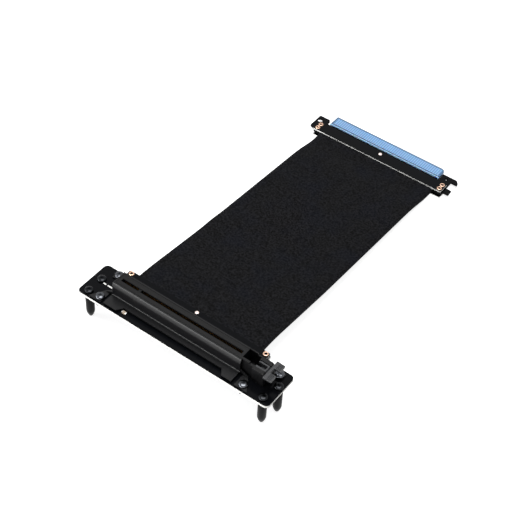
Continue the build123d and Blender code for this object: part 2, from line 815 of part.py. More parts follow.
# Cap: a moulded sleeve pushed over the tongue up to its shoulder
cavity_half = pcb_thickness / 2 + cap_clearance
cap_half = cavity_half + cap_face_wall
cavity_corner = 1.4 * card_corner
cavity_length = card_length + 2 * cap_clearance
cap_length = cavity_length + 2 * cap_side_wall
cap_depth = card_tongue + cap_clearance + cap_end_wall
with BuildPart() as edge_cap:
    with BuildSketch(Plane.XY.offset(far_board_middle)) as cap_outline:
        with Locations((slot_x, shoulder_y)):
            Rectangle(cap_length, cap_depth, align=body_align)
        far_corners = cap_outline.vertices().group_by(Axis.Y)[-1].sort_by(Axis.X)
        fillet(far_corners[-1], cavity_corner + cap_side_wall)
        far_corners = cap_outline.vertices().group_by(Axis.Y)[-1].sort_by(Axis.X)
        fillet(far_corners[0], cap_side_wall)
    extrude(amount=cap_half, both=True)
    with BuildSketch(Plane.XY.offset(far_board_middle)):
        with Locations((slot_x, shoulder_y)):
            Rectangle(cap_length, cap_lip_depth, align=body_align)
    extrude(amount=cap_half + cap_lip, both=True)
    with BuildSketch(Plane.XY.offset(far_board_middle)) as cap_cavity:
        with Locations((slot_x, shoulder_y)):
            Rectangle(cavity_length, card_tongue + cap_clearance, align=body_align)
        far_corners = cap_cavity.vertices().group_by(Axis.Y)[-1].sort_by(Axis.X)
        fillet(far_corners[-1], cavity_corner)
    extrude(amount=cavity_half, both=True, mode=Mode.SUBTRACT)
save(edge_cap.part, "edge_cap")
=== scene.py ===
# %% [markdown]
# This notebook dresses an extension cable for an expansion card. The solids come from the CAD
# model: two printed boards, a moulded card slot inside a folded metal shroud, a latch lever, four
# posts, and a flat cable wrapped in black cloth. Here the finishes are made, and the small things
# that CAD keeps plain, such as the screw heads, the rolled eyelets and the soft cloth.
#
# We first load the fixed frame. Every CAD piece keeps its place, and all sizes are in metres.

# %% Load the frame and remember its box
import math

import bpy
from mathutils import Matrix, Vector, noise


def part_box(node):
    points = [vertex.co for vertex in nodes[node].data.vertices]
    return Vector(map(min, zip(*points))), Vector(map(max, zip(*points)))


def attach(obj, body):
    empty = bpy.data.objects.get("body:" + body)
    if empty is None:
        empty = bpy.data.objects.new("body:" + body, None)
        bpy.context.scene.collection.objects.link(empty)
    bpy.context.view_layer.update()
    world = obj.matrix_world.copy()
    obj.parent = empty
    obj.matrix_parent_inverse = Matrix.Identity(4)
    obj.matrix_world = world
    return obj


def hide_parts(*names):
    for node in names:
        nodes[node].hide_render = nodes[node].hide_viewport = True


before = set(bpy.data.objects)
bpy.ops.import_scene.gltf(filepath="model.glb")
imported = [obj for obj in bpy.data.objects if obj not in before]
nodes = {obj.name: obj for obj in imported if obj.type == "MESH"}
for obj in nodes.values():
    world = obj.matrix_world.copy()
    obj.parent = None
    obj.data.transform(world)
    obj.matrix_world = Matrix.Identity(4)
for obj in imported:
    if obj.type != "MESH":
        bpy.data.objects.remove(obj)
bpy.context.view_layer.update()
MM = 0.001
print("CAD nodes:", len(nodes))

# %% [markdown]
# Most places below are read from the boxes of the CAD pieces, so that each new piece sits exactly
# on what carries it. The slot board is the one that the camera is measured from: its top face and
# its middle, where the front edge and the depth of the board are known.

# %% Places that several cells share
BOARD_DEPTH = 26.3 * MM
board_low, board_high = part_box("slot_board")
board_top = board_high.z
board_y = board_low.y + BOARD_DEPTH / 2
print("board top at", round(board_top / MM, 2), "mm")

# %% [markdown]
# The camera stands in front, to the right and above, and it is turned a little about its own axis,
# because the real one was. A long lens keeps the two boards nearly parallel. We aim it at a point
# on the cable and then step back along the line of sight.

# %% Camera
CAMERA_AZIMUTH = 32.95
CAMERA_ELEVATION = 46.76
CAMERA_ROLL = 4.21
CAMERA_DISTANCE = 716.7 * MM
CAMERA_LENS = 82.24
aim = Vector((5.27 * MM, board_y + 70.67 * MM, board_top))
azimuth, elevation = math.radians(CAMERA_AZIMUTH), math.radians(CAMERA_ELEVATION)
back = Vector(
    (
        math.sin(azimuth) * math.cos(elevation),
        -math.cos(azimuth) * math.cos(elevation),
        math.sin(elevation),
    )
)
bpy.ops.object.camera_add(location=aim + back * CAMERA_DISTANCE)
camera = bpy.context.object
camera.name = "camera"
turn = (-back).to_track_quat("-Z", "Y").to_matrix() @ Matrix.Rotation(
    math.radians(CAMERA_ROLL), 3, "Z"
)
camera.rotation_euler = turn.to_euler()
camera.data.lens = CAMERA_LENS
camera.data.sensor_width = 36
bpy.context.scene.camera = camera
bpy.context.scene.view_settings.view_transform = "Standard"

# %% [markdown]
# Colours are written as sRGB hex values, as in a paint chart, and Blender calculates in linear
# light, so one function turns the first into the second. A second small function adds a node with
# its settings and its links, and every material below is built from calls to it.

# %% Colour and node helpers
def srgb(code):
    """An sRGB hex value as linear red, green, blue and alpha."""
    parts = [int(code[i : i + 2], 16) / 255 for i in (1, 3, 5)]
    linear = [c / 12.92 if c <= 0.04045 else ((c + 0.055) / 1.055) ** 2.4 for c in parts]
    return (*linear, 1.0)


def blank_material(name):
    """A new material with an empty node tree."""
    material = bpy.data.materials.new(name)
    material.use_nodes = True
    material.node_tree.nodes.clear()
    return material, material.node_tree


def add_node(tree, kind, inputs=None, **settings):
    """Add one node. inputs gives each socket a value, or the output that is linked to it."""
    made = tree.nodes.new(kind)
    for name, value in settings.items():
        setattr(made, name, value)
    for socket, value in (inputs or {}).items():
        if isinstance(value, bpy.types.NodeSocket):
            tree.links.new(value, made.inputs[socket])
        else:
            made.inputs[socket].default_value = value
    return made


def per_metre(size_mm):
    """Texture scale for a pattern whose grains are this many millimetres apart."""
    return 1.0 / (size_mm * MM)


# %% [markdown]
# The object stands on a plain white sheet. A floor that is white to the camera and in reflections,
# but is otherwise an ordinary matt surface, gives a clean background and still keeps the soft
# shadow under the boards. The Light Path node tells the two apart.

# %% Floor
material, tree = blank_material("white_paper_sweep")
rays = add_node(tree, "ShaderNodeLightPath")
seen = add_node(
    tree,
    "ShaderNodeMath",
    {0: rays.outputs["Is Camera Ray"], 1: rays.outputs["Is Transmission Ray"]},
    operation="MAXIMUM",
)
PAPER_GLOW = 0.86
shown = add_node(
    tree,
    "ShaderNodeMath",
    {0: seen.outputs[0], 1: rays.outputs["Is Glossy Ray"]},
    operation="MAXIMUM",
)
glow = add_node(
    tree, "ShaderNodeMath", {0: shown.outputs[0], 1: PAPER_GLOW}, operation="MULTIPLY"
)
paper = add_node(tree, "ShaderNodeBsdfDiffuse", {"Color": srgb("#C8C8C8")})
shine = add_node(
    tree, "ShaderNodeEmission", {"Color": srgb("#FFFFFF"), "Strength": glow.outputs[0]}
)
both = add_node(tree, "ShaderNodeAddShader", {0: paper.outputs[0], 1: shine.outputs[0]})
add_node(tree, "ShaderNodeOutputMaterial", {"Surface": both.outputs[0]})
FLOOR_SIZE = 12.0
bpy.ops.object.select_all(action="DESELECT")
bpy.ops.mesh.primitive_plane_add(size=FLOOR_SIZE, location=(0, 0, 0))
floor = bpy.context.object
floor.name = "floor"
floor.data.materials.append(material)
print("floor", FLOOR_SIZE, "m wide")

# %% [markdown]
# The room that lights the object is pale at the horizon and dark higher up. The camera, and every
# reflection, sees plain white instead, as round a product on a white sweep. Black finishes stay
# dark all the same, because most of them have a low specular level of their own.

# %% World
world = bpy.data.worlds.new("studio")
bpy.context.scene.world = world
world.use_nodes = True
tree = world.node_tree
tree.nodes.clear()
rays = add_node(tree, "ShaderNodeLightPath")
direction = add_node(tree, "ShaderNodeTexCoord")
height = add_node(tree, "ShaderNodeSeparateXYZ", {0: direction.outputs["Generated"]})
ramp = add_node(tree, "ShaderNodeValToRGB", {"Fac": height.outputs["Z"]})
HORIZON, ROOM = (0.02, "#FFFFFF"), (0.40, "#303234")
for stop, (position, code) in zip(ramp.color_ramp.elements, (HORIZON, ROOM)):
    stop.position = position
    stop.color = srgb(code)
ROOM_STRENGTH = 0.6
room = add_node(
    tree, "ShaderNodeBackground", {"Color": ramp.outputs["Color"], "Strength": ROOM_STRENGTH}
)
white = add_node(tree, "ShaderNodeBackground", {"Color": srgb("#FFFFFF"), "Strength": 1.0})
camera_or_glass = add_node(
    tree,
    "ShaderNodeMath",
    {0: rays.outputs["Is Camera Ray"], 1: rays.outputs["Is Transmission Ray"]},
    operation="MAXIMUM",
)
share = add_node(
    tree,
    "ShaderNodeMath",
    {0: camera_or_glass.outputs[0], 1: rays.outputs["Is Glossy Ray"]},
    operation="MAXIMUM",
)
mixed = add_node(
    tree,
    "ShaderNodeMixShader",
    {0: share.outputs[0], 1: room.outputs[0], 2: white.outputs[0]},
)
add_node(tree, "ShaderNodeOutputWorld", {"Surface": mixed.outputs[0]})
print("world", world.name)

# %% [markdown]
# Four area lamps shape the black parts. A wide softbox hangs above, weaker ones fill from the left
# and the right, and a long low strip in front draws the line of light along the shroud's shoulder.
# A lamp that a level face mirrors straight at the camera would turn a board grey, so the upper one
# hangs clear of that direction.

# %% Softboxes
def softbox(name, place, width, height, power):
    """A rectangular area lamp that faces the middle of the object. Its width lies level."""
    bpy.ops.object.light_add(type="AREA", location=place)
    lamp = bpy.context.object
    lamp.name = name
    lamp.data.shape = "RECTANGLE"
    lamp.data.size = width
    lamp.data.size_y = height
    lamp.data.energy = power
    lamp.rotation_euler = (-Vector(place)).to_track_quat("-Z", "Y").to_euler()
    print(name, power, "W")


softbox("softbox_above", (0.02, -0.06, 0.92), 0.60, 0.60, 9.0)
softbox("softbox_left", (-0.75, -0.45, 0.55), 0.45, 0.45, 3.0)
softbox("softbox_front_right", (0.70, -0.55, 0.35), 0.30, 0.30, 0.5)
softbox("strip_in_front", (-0.45, -1.15, 0.08), 1.10, 0.15, 14.0)

# %% [markdown]
# Printed boards are woven glass in epoxy under a glossy black solder mask. The mask covers only
# the two faces: the sawn edge shows the pale laminate, with the layers of glass as faint lines. The
# face normal tells which is which. The mask itself is never quite even, so its gloss and its
# surface vary slowly. The far board has a dark core, and its edges stay dark.

# %% Black solder mask and sawn laminate
GLASS_LAYER_MM, MASK_RIPPLE_MM = 0.4, 3.0


def board_finish(name, core_low, core_high):
    """Glossy mask on level faces, and bare laminate of these two colours on sawn edges."""
    material, tree = blank_material(name)
    where = add_node(tree, "ShaderNodeTexCoord")
    facing = add_node(tree, "ShaderNodeNewGeometry")
    normal = add_node(tree, "ShaderNodeSeparateXYZ", {0: facing.outputs["Normal"]})
    upright = add_node(tree, "ShaderNodeMath", {0: normal.outputs["Z"]}, operation="ABSOLUTE")
    edge = add_node(
        tree, "ShaderNodeMath", {0: upright.outputs[0], 1: 0.5}, operation="LESS_THAN"
    )
    patches = add_node(
        tree,
        "ShaderNodeTexNoise",
        {"Vector": where.outputs["Object"], "Scale": per_metre(MASK_RIPPLE_MM), "Detail": 3.0},
    )
    mask = add_node(
        tree,
        "ShaderNodeMixRGB",
        {0: patches.outputs["Fac"], 1: srgb("#050608"), 2: srgb("#0C0D10")},
    )
    place = add_node(tree, "ShaderNodeSeparateXYZ", {0: where.outputs["Object"]})
    layers = add_node(
        tree,
        "ShaderNodeMath",
        {0: place.outputs["Z"], 1: 2 * math.pi / (GLASS_LAYER_MM * MM)},
        operation="MULTIPLY",
    )
    stripes = add_node(tree, "ShaderNodeMath", {0: layers.outputs[0]}, operation="SINE")
    stripe = add_node(
        tree, "ShaderNodeMapRange", {"Value": stripes.outputs[0], "From Min": -1.0, "From Max": 1.0}
    )
    laminate = add_node(
        tree,
        "ShaderNodeMixRGB",
        {0: stripe.outputs[0], 1: srgb(core_low), 2: srgb(core_high)},
    )
    colour = add_node(
        tree,
        "ShaderNodeMixRGB",
        {0: edge.outputs[0], 1: mask.outputs[0], 2: laminate.outputs[0]},
    )
    rough = add_node(
        tree,
        "ShaderNodeMapRange",
        {"Value": patches.outputs["Fac"], "To Min": 0.10, "To Max": 0.17},
    )
    matt_edge = add_node(
        tree, "ShaderNodeMath", {0: rough.outputs[0], 1: edge.outputs[0]}, operation="MAXIMUM"
    )
    bump = add_node(
        tree,
        "ShaderNodeBump",
        {"Strength": 0.05, "Distance": 0.05 * MM, "Height": patches.outputs["Fac"]},
    )
    skin = add_node(
        tree,
        "ShaderNodeBsdfPrincipled",
        {
            "Base Color": colour.outputs[0],
            "Roughness": matt_edge.outputs[0],
            "IOR": 1.5,
            "Specular IOR Level": 0.07,
            "Normal": bump.outputs[0],
        },
    )
    add_node(tree, "ShaderNodeOutputMaterial", {"Surface": skin.outputs[0]})
    return material


black_solder_mask = board_finish("black_solder_mask", "#DEDEDA", "#F4F4F0")
dark_core_board = board_finish("dark_core_board", "#0E0F10", "#1A1B1C")

# %% [markdown]
# The slot is moulded in a glass-filled polymer with a fine spark-eroded skin: almost black, with a
# soft grey sheen on level faces. The lever is the same plastic in a greyer black. The shroud is
# folded steel with baked semi-gloss paint, glossier and with a wider ripple. All are a base colour
# with a grain that shows in colour, gloss and surface alike, and so are the cable jackets, the
# ceramic of the chip and the white ink.

# %% Plastic, paint, ceramic and ink
def grained_coat(name, low, high, gloss, grain_mm, shine=0.5):
    """A grained skin. gloss is the roughness range over its grain, shine its specular level."""
    material, tree = blank_material(name)
    where = add_node(tree, "ShaderNodeTexCoord")
    grain = add_node(
        tree,
        "ShaderNodeTexNoise",
        {"Vector": where.outputs["Object"], "Scale": per_metre(grain_mm), "Detail": 4.0},
    )
    colour = add_node(
        tree, "ShaderNodeMixRGB", {0: grain.outputs["Fac"], 1: srgb(low), 2: srgb(high)}
    )
    rough = add_node(
        tree,
        "ShaderNodeMapRange",
        {"Value": grain.outputs["Fac"], "To Min": gloss[0], "To Max": gloss[1]},
    )
    bump = add_node(
        tree,
        "ShaderNodeBump",
        {"Strength": 0.15, "Distance": 0.05 * MM, "Height": grain.outputs["Fac"]},
    )
    skin = add_node(
        tree,
        "ShaderNodeBsdfPrincipled",
        {
            "Base Color": colour.outputs[0],
            "Roughness": rough.outputs[0],
            "IOR": 1.5,
            "Specular IOR Level": shine,
            "Normal": bump.outputs[0],
        },
    )
    add_node(tree, "ShaderNodeOutputMaterial", {"Surface": skin.outputs[0]})
    return material


housing_polymer = grained_coat(
    "glass_filled_polymer", "#030304", "#0A0A0B", (0.34, 0.46), 0.5, 0.20
)
lever_polymer = grained_coat("lever_polymer", "#1B1C1E", "#2A2B2E", (0.36, 0.48), 0.5)
baked_paint = grained_coat("baked_black_paint", "#050506", "#0C0C0E", (0.28, 0.36), 0.8, 0.28)
black_post = grained_coat("black_post_coat", "#060607", "#0D0E0F", (0.26, 0.34), 1.0, 0.10)
jacket = grained_coat("pvc_cable_jacket", "#1A1A1C", "#222224", (0.45, 0.55), 1.0)
fired_ceramic = grained_coat("fired_ceramic", "#8F8272", "#A89A88", (0.40, 0.55), 0.4)
screen_ink = grained_coat("white_screen_ink", "#D8D8D4", "#F2F2EE", (0.50, 0.60), 0.3)

# %% [markdown]
# Contacts, fingers and eyelets are plated. A metal keeps the default IOR and shows its colour only
# in its reflections, so a cloudy roughness is what makes it look handled. The eyelets are copper
# under a thin flash of gold, which gives them their pinkish tint, and the rivets are paler. The
# gold of the contacts is tinted darker than real gold, as painted shade deep in the card gap. The
# post screws are black zinc. The shroud's screws and nuts are bright nickel, but their tint is
# painted dark, as painted shade in place of the dark room that they mirror.

# %% Plated metals
def plated_metal(name, tint, roughness):
    """A bare metal with a little unevenness in its gloss."""
    material, tree = blank_material(name)
    where = add_node(tree, "ShaderNodeTexCoord")
    wear = add_node(
        tree,
        "ShaderNodeTexNoise",
        {"Vector": where.outputs["Object"], "Scale": per_metre(0.8), "Detail": 3.0},
    )
    rough = add_node(
        tree,
        "ShaderNodeMapRange",
        {"Value": wear.outputs["Fac"], "To Min": roughness * 0.75, "To Max": roughness * 1.3},
    )
    skin = add_node(
        tree,
        "ShaderNodeBsdfPrincipled",
        {"Base Color": srgb(tint), "Metallic": 1.0, "Roughness": rough.outputs[0]},
    )
    add_node(tree, "ShaderNodeOutputMaterial", {"Surface": skin.outputs[0]})
    return material


# Painted shade: the gold tint is darker than real gold, so that the contacts deep in the card gap
# stay dark.
shade_dimmed_gold_plate = plated_metal("shade_dimmed_gold_plate", "#A98B55", 0.32)
rose_gold_plate = plated_metal("rose_gold_plate", "#DDB8A0", 0.30)
pale_rose_plate = plated_metal("pale_rose_plate", "#F2E0DA", 0.42)
# Painted shade: the shroud's screws and nuts are bright nickel, tinted dark here to stand in for
# the dark room they mirror.
shade_darkened_nickel = plated_metal("shade_darkened_nickel_plate", "#505256", 0.13)
black_zinc = plated_metal("black_zinc_plate", "#242527", 0.20)
dipped_tin = plated_metal("dipped_tin", "#E2E2E0", 0.30)

# %% [markdown]
# The sleeve is a coated cloth: matt, nearly black, with a pebbled face like thin leather. Real
# pebbles are about half a millimetre, which is less than a pixel in the render, so both layers
# are drawn two to four times too coarse, so that they show. Broad, faint patches of blue break up
# the black, as on any dyed cloth.

# %% Leathery cloth
PEBBLE_MM, FINE_MM, PATCH_MM = 1.7, 1.2, 17.0
leathery_cloth, tree = blank_material("leathery_cloth")
where = add_node(tree, "ShaderNodeTexCoord")
pebbles = add_node(
    tree,
    "ShaderNodeTexVoronoi",
    {"Vector": where.outputs["Object"], "Scale": per_metre(PEBBLE_MM)},
)
fine = add_node(
    tree,
    "ShaderNodeTexNoise",
    {"Vector": where.outputs["Object"], "Scale": per_metre(FINE_MM), "Detail": 3.0},
)
patches = add_node(
    tree,
    "ShaderNodeTexNoise",
    {"Vector": where.outputs["Object"], "Scale": per_metre(PATCH_MM), "Detail": 4.0},
)
surface = add_node(
    tree,
    "ShaderNodeMath",
    {0: pebbles.outputs["Distance"], 1: fine.outputs["Fac"]},
    operation="ADD",
)
mottle = add_node(
    tree,
    "ShaderNodeMapRange",
    {"Value": fine.outputs["Fac"], "From Min": 0.35, "From Max": 0.65},
)
dye = add_node(
    tree, "ShaderNodeMixRGB", {0: mottle.outputs[0], 1: srgb("#020202"), 2: srgb("#1D1D1F")}
)
blue_share = add_node(
    tree,
    "ShaderNodeMapRange",
    {"Value": patches.outputs["Fac"], "From Min": 0.45, "From Max": 0.70, "To Max": 0.20},
)
tinted = add_node(
    tree, "ShaderNodeMixRGB", {0: blue_share.outputs[0], 1: dye.outputs[0], 2: srgb("#171B26")}
)
bump = add_node(
    tree,
    "ShaderNodeBump",
    {"Strength": 0.45, "Distance": 0.10 * MM, "Height": surface.outputs[0]},
)
rough = add_node(
    tree, "ShaderNodeMapRange", {"Value": patches.outputs["Fac"], "To Min": 0.62, "To Max": 0.80}
)
skin = add_node(
    tree,
    "ShaderNodeBsdfPrincipled",
    {
        "Base Color": tinted.outputs[0],
        "Roughness": rough.outputs[0],
        "IOR": 1.45,
        "Specular IOR Level": 0.05,
        "Normal": bump.outputs[0],
    },
)
add_node(tree, "ShaderNodeOutputMaterial", {"Surface": skin.outputs[0]})

# %% [markdown]
# The cap is soft blue vinyl, moulded thin enough that the fingers under it show as faint lines
# across it. Light through two thin walls costs much time, so the wall is drawn opaque and the lines
# are a wave in its colour. The real fingers are one millimetre apart, less than two pixels, so the
# wave is drawn coarser than that to show. The rim is darker, where the wall is seen on edge. Behind
# the lip a dark band is painted shadow, where the step shades the top, and the lip itself is
# painted pale as a painted highlight, where its front catches the light. A little light scatters
# below the skin, which makes it milky.

# %% Blue vinyl
LINE_PITCH_MM = 1.6
RIM_MM = 1.3
# Where the band of painted shadow behind the lip starts and ends, from the cap's near edge; the
# pale lip ends where it starts.
LIP_SHADOW_SPAN_MM = (0.6, 1.7)
cap_low, cap_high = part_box("edge_cap")
blue_vinyl, tree = blank_material("blue_vinyl")
where = add_node(tree, "ShaderNodeTexCoord")
clouds = add_node(
    tree,
    "ShaderNodeTexNoise",
    {"Vector": where.outputs["Object"], "Scale": per_metre(6.0), "Detail": 2.0},
)
tint = add_node(
    tree, "ShaderNodeMixRGB", {0: clouds.outputs["Fac"], 1: srgb("#84ADDA"), 2: srgb("#98C0E8")}
)
place = add_node(tree, "ShaderNodeSeparateXYZ", {0: where.outputs["Object"]})
turns = add_node(
    tree,
    "ShaderNodeMath",
    {0: place.outputs["X"], 1: 2 * math.pi / (LINE_PITCH_MM * MM)},
    operation="MULTIPLY",
)
ridge = add_node(tree, "ShaderNodeMath", {0: turns.outputs[0]}, operation="SINE")
line = add_node(
    tree,
    "ShaderNodeMapRange",
    {"Value": ridge.outputs[0], "From Min": 0.1, "From Max": 0.6, "To Max": 0.9},
)
lined = add_node(
    tree, "ShaderNodeMixRGB", {0: line.outputs[0], 1: tint.outputs[0], 2: srgb("#5C8BBF")}
)
from_middle = add_node(
    tree,
    "ShaderNodeMath",
    {0: place.outputs["X"], 1: (cap_low.x + cap_high.x) / 2},
    operation="SUBTRACT",
)
off_middle = add_node(tree, "ShaderNodeMath", {0: from_middle.outputs[0]}, operation="ABSOLUTE")
at_side = add_node(
    tree,
    "ShaderNodeMath",
    {0: off_middle.outputs[0], 1: (cap_high.x - cap_low.x) / 2 - RIM_MM * MM},
    operation="GREATER_THAN",
)
at_far = add_node(
    tree,
    "ShaderNodeMath",
    {0: place.outputs["Y"], 1: cap_high.y - RIM_MM * MM},
    operation="GREATER_THAN",
)
# Painted shadow: a dark band just behind the lip, where its step shades the top of the cap.
past_lip = add_node(
    tree,
    "ShaderNodeMath",
    {0: place.outputs["Y"], 1: cap_low.y + LIP_SHADOW_SPAN_MM[0] * MM},
    operation="GREATER_THAN",
)
before_top = add_node(
    tree,
    "ShaderNodeMath",
    {0: place.outputs["Y"], 1: cap_low.y + LIP_SHADOW_SPAN_MM[1] * MM},
    operation="LESS_THAN",
)
painted_lip_shadow = add_node(
    tree,
    "ShaderNodeMath",
    {0: past_lip.outputs[0], 1: before_top.outputs[0]},
    operation="MULTIPLY",
)
rim = add_node(
    tree, "ShaderNodeMath", {0: at_side.outputs[0], 1: at_far.outputs[0]}, operation="MAXIMUM"
)
rimmed = add_node(
    tree, "ShaderNodeMixRGB", {0: rim.outputs[0], 1: lined.outputs[0], 2: srgb("#4A6B8C")}
)
with_painted_lip_shadow = add_node(
    tree, "ShaderNodeMixRGB", {0: painted_lip_shadow.outputs[0], 1: rimmed.outputs[0], 2: srgb("#16304F")}
)
# Painted highlight: the near strip of the cap, the lip, is painted pale where its front catches the
# light.
on_lit_lip = add_node(
    tree,
    "ShaderNodeMath",
    {0: place.outputs["Y"], 1: cap_low.y + LIP_SHADOW_SPAN_MM[0] * MM},
    operation="LESS_THAN",
)
with_painted_lip_highlight = add_node(
    tree, "ShaderNodeMixRGB", {0: on_lit_lip.outputs[0], 1: with_painted_lip_shadow.outputs[0], 2: srgb("#A4CDF2")}
)
skin = add_node(
    tree,
    "ShaderNodeBsdfPrincipled",
    {
        "Base Color": with_painted_lip_highlight.outputs[0],
        "Roughness": 0.34,
        "IOR": 1.52,
        "Subsurface Weight": 0.15,
        "Subsurface Scale": 0.5 * MM,
    },
)
add_node(tree, "ShaderNodeOutputMaterial", {"Surface": skin.outputs[0]})
print("cap", round((cap_high.x - cap_low.x) / MM, 2), "mm wide")

# %% [markdown]
# The small parts are modelled the way one works by hand: start from a primitive, extrude and scale
# it, and finish with modifiers. An operator acts on whatever is selected, so the first helper
# always deselects everything else. The others apply a modifier as soon as it is set up, add a block
# at its place, select edges by a test, and repeat a piece along the card.

# %% Helpers for modelling
PITCH = 1.0
WELD = 0.002 * MM


def choose(piece):
    """Select this piece alone and make it active."""
    bpy.ops.object.select_all(action="DESELECT")
    piece.select_set(True)
    bpy.context.view_layer.objects.active = piece


def apply_modifier(piece, kind, **settings):
    """Add one modifier with its settings and apply it."""
    choose(piece)
    bpy.ops.object.modifier_add(type=kind)
    modifier = piece.modifiers[-1]
    for name, value in settings.items():
        setattr(modifier, name, value)
    bpy.ops.object.modifier_apply(modifier=modifier.name)


def smooth(piece, degrees):
    """Shade softly over bends up to this many degrees, and keep sharper edges crisp."""
    choose(piece)
    bpy.ops.object.shade_smooth_by_angle(angle=math.radians(degrees))


def block(name, size, centre):
    """A block of this size, with its centre at this place, both in metres."""
    bpy.ops.object.select_all(action="DESELECT")
    bpy.ops.mesh.primitive_cube_add(size=1, location=(0, 0, 0))
    piece = bpy.context.object
    piece.name = name
    piece.scale = size
    piece.location = centre
    bpy.ops.object.transform_apply(location=True, rotation=True, scale=True)
    return piece


def pick_edges(piece, wanted):
    """Enter edit mode with only those edges selected whose two ends pass the test."""
    bpy.ops.object.mode_set(mode="EDIT")
    bpy.ops.mesh.select_mode(type="EDGE")
    bpy.ops.mesh.select_all(action="DESELECT")
    bpy.ops.object.mode_set(mode="OBJECT")
    points = piece.data.vertices
    for edge in piece.data.edges:
        a, b = (points[i].co for i in edge.vertices)
        edge.select = wanted(a, b)
    bpy.ops.object.mode_set(mode="EDIT")


def round_corners(piece, height, radius, steps):
    """Bevel the upright edges of a thin slab of this height. Both sizes are in millimetres."""
    pick_edges(piece, lambda a, b: abs(a.z - b.z) > height / 2 * MM)
    bpy.ops.mesh.bevel(offset=radius * MM, segments=steps, affect="EDGES")
    bpy.ops.object.mode_set(mode="OBJECT")


def repeat_along_card(piece, count):
    """Repeat a piece at the pitch of the contacts."""
    apply_modifier(
        piece,
        "ARRAY",
        count=count,
        use_relative_offset=False,
        use_constant_offset=True,
        constant_offset_displace=(PITCH * MM, 0, 0),
    )


def tidy_shell(piece):
    """Merge doubles and turn all faces outwards."""
    choose(piece)
    bpy.ops.object.mode_set(mode="EDIT")
    bpy.ops.mesh.select_all(action="SELECT")
    bpy.ops.mesh.remove_doubles(threshold=WELD)
    bpy.ops.mesh.normals_make_consistent(inside=False)
    bpy.ops.object.mode_set(mode="OBJECT")


def copy_to(model, name, place):
    """A copy of a model with its own mesh. Its place, in metres, goes into the mesh."""
    choose(model)
    bpy.ops.object.duplicate(linked=False)
    piece = bpy.context.object
    piece.name = name
    piece.location = place
    bpy.ops.object.transform_apply(location=True, rotation=True, scale=True)
    return piece


def belongs(piece, material, stands_for=(), body="cable"):
    """Dress a new piece, hang it on its body and hide the solids it stands for."""
    piece.data.materials.clear()
    piece.data.materials.append(material)
    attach(piece, body)
    if stands_for:
        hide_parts(*stands_for)
    triangles = sum(len(face.vertices) - 2 for face in piece.data.polygons)
    print(piece.name, "has", triangles, "triangles")


# %% [markdown]
# Screws, posts and eyelets are turned parts. A lathe cuts one profile while the bar spins, and we
# do the same: a circle is extruded upwards ring by ring, and each ring is scaled to its radius.
# When the last ring is the first one again, as on an eyelet, the shape is a closed loop with a
# bore.

# %% Turned parts
def turned(name, rings, around=48):
    """Turn a part from rings of radius and height, in millimetres, from its first ring up."""
    radius, height = rings[0]
    looped = rings[0] == rings[-1]
    bpy.ops.object.select_all(action="DESELECT")
    bpy.ops.mesh.primitive_circle_add(
        vertices=around,
        radius=radius * MM,
        fill_type="NOTHING" if looped else "NGON",
        location=(0, 0, 0),
    )
    part = bpy.context.object
    part.name = name
    bpy.ops.object.mode_set(mode="EDIT")
    bpy.ops.mesh.select_mode(type="EDGE")
    bpy.ops.mesh.select_all(action="SELECT")
    bpy.ops.transform.translate(value=(0, 0, height * MM))
    for next_radius, next_height in rings[1:]:
        bpy.ops.mesh.extrude_region_move(
            TRANSFORM_OT_translate={"value": (0, 0, (next_height - height) * MM)}
        )
        ratio = next_radius / radius
        bpy.ops.transform.resize(
            value=(ratio, ratio, 1), center_override=(0, 0, next_height * MM)
        )
        radius, height = next_radius, next_height
    bpy.ops.object.mode_set(mode="OBJECT")
    tidy_shell(part)
    return part


# %% [markdown]
# Moulded and folded parts never have knife-sharp edges. A small round catches the light, and it is
# what makes a black part readable. A solid comes as loose triangles and its own mesh is left alone,
# so we copy it, weld the copy, dissolve its flat triangles into whole faces, and bevel the edges
# that really turn a corner. Weighted normals then keep the large faces flat.

# %% Soft edges on moulded, folded and sawn parts
def softened(node, name, width_mm, material, body="cable"):
    """A copy of a solid with its corners rounded by this width. It stands for the solid."""
    piece = bpy.data.objects.new(name, nodes[node].data.copy())
    bpy.context.scene.collection.objects.link(piece)
    choose(piece)
    bpy.ops.mesh.customdata_custom_splitnormals_clear()
    bpy.ops.object.mode_set(mode="EDIT")
    bpy.ops.mesh.select_all(action="SELECT")
    bpy.ops.mesh.remove_doubles(threshold=WELD)
    bpy.ops.mesh.dissolve_limited(angle_limit=math.radians(1.0))
    bpy.ops.object.mode_set(mode="OBJECT")
    apply_modifier(
        piece,
        "BEVEL",
        width=width_mm * MM,
        segments=2,
        limit_method="ANGLE",
        angle_limit=math.radians(35),
        use_clamp_overlap=True,
    )
    smooth(piece, 50)
    apply_modifier(piece, "WEIGHTED_NORMAL", keep_sharp=True, weight=50)
    belongs(piece, material, [node], body)


softened("slot_housing", "moulded_slot_housing", 0.16, housing_polymer)
softened("slot_shroud", "folded_slot_shroud", 0.14, baked_paint)
softened("latch_lever", "moulded_lever", 0.18, lever_polymer, body="lever")
softened("slot_board", "sawn_slot_board", 0.07, black_solder_mask)
softened("edge_board", "sawn_edge_board", 0.07, dark_core_board)
for end in ("near", "far"):
    for level in ("top", "bottom"):
        cover = f"{end}_cover_{level}"
        softened(cover, "sawn_" + cover, 0.07, black_solder_mask)
softened("edge_cap", "vinyl_cap", 0.25, blue_vinyl)
softened("shroud_nuts", "pressed_nuts", 0.12, shade_darkened_nickel)

# %% [markdown]
# The cables themselves show only at the two mouths of their sleeve, so their solids stay, in the
# dark grey of their jacket.

# %% Cable jackets
for number in range(1, 5):
    for layer in ("upper", "lower"):
        cable = nodes[f"{layer}_cable_{number}"]
        cable.data.materials.clear()
        cable.data.materials.append(jacket)

